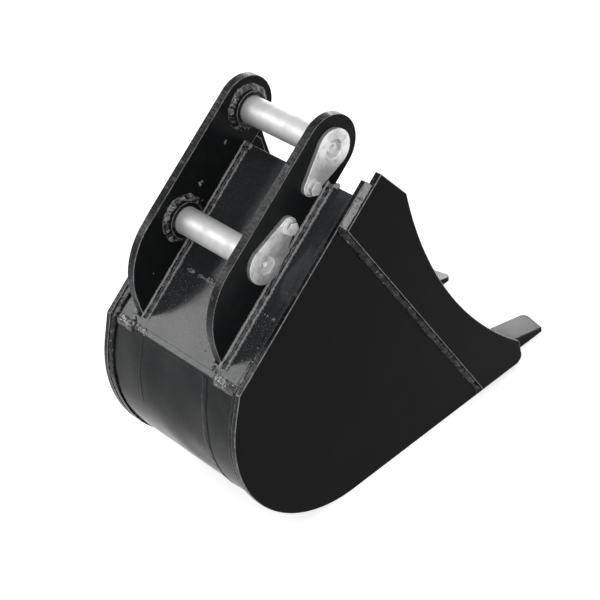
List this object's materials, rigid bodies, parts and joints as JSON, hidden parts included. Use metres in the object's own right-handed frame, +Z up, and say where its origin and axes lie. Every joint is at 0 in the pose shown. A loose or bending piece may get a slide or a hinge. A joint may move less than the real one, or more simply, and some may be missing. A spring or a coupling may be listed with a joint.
{
  "type": "backhoe bucket",
  "caption": "Pin-on digging bucket for a mini excavator with hanger ears, quick-release pins, flag plates, side cutters and a toothed lip.",
  "frame": {"origin": "middle of the stick pin's axis, halfway between the two ears", "axes": "+X from the heel toward the teeth, +Y to the bucket's left along the pins, +Z up with the floor of the bucket level"},
  "size_m": [0.4789, 0.228, 0.4306],
  "materials": {
    "black_paint": "gloss black paint over mill-finish plate",
    "weld_paint": "gloss black paint over weld bead",
    "tooth_paint": "gloss black paint on forged flat bar",
    "pin_steel": "bright plated, satin",
    "zinc": "zinc plated, turned faces"
  },
  "bodies": {
    "bucket": {"wrapper": "black_paint", "back_plate_lower": "black_paint", "back_plate_upper": "black_paint", "side_plate_left": "black_paint", "side_plate_right": "black_paint", "side_cutter_left": "black_paint", "side_cutter_right": "black_paint", "lip_plate": "black_paint", "tooth_left": "tooth_paint", "tooth_right": "tooth_paint", "ear_left": "black_paint", "ear_right": "black_paint", "stick_collar_left": "black_paint", "stick_collar_right": "black_paint", "link_collar_left": "black_paint", "link_collar_right": "black_paint", "ear_weld_left_outer": "weld_paint", "ear_weld_left_inner": "weld_paint", "ear_weld_right_outer": "weld_paint", "ear_weld_right_inner": "weld_paint", "stick_collar_weld_left": "weld_paint", "stick_collar_weld_right": "weld_paint", "link_collar_weld_left": "weld_paint", "link_collar_weld_right": "weld_paint", "edge_weld_left": "weld_paint", "edge_weld_right": "weld_paint", "cutter_rear_weld_left": "weld_paint", "cutter_rear_weld_right": "weld_paint", "cutter_top_weld_left": "weld_paint", "cutter_top_weld_right": "weld_paint", "fold_weld": "weld_paint", "seam_weld_middle": "weld_paint", "seam_weld_left": "weld_paint", "seam_weld_right": "weld_paint", "tooth_weld_left_outer": "weld_paint", "tooth_weld_left_inner": "weld_paint", "tooth_weld_right_outer": "weld_paint", "tooth_weld_right_inner": "weld_paint"},
    "stick_pin": {"stick_pin": "pin_steel", "stick_pin_flag": "zinc"},
    "stick_bolt": {"stick_pin_bolt": "zinc", "stick_pin_washer": "zinc"},
    "link_pin": {"link_pin": "pin_steel", "link_pin_flag": "zinc"},
    "link_bolt": {"link_pin_bolt": "zinc", "link_pin_washer": "zinc"}
  },
  "joints": [
    {"name": "stick_pin_slide", "type": "slide", "parent": "bucket", "child": "stick_pin", "axis": [0, -1, 0], "range_m": [0, 0.25]},
    {"name": "stick_bolt_slide", "type": "slide", "parent": "stick_pin", "child": "stick_bolt", "axis": [0, -1, 0], "range_m": [0, 0.03]},
    {"name": "link_pin_slide", "type": "slide", "parent": "bucket", "child": "link_pin", "axis": [0, -1, 0], "range_m": [0, 0.25]},
    {"name": "link_bolt_slide", "type": "slide", "parent": "link_pin", "child": "link_bolt", "axis": [0, -1, 0], "range_m": [0, 0.03]}
  ]
}
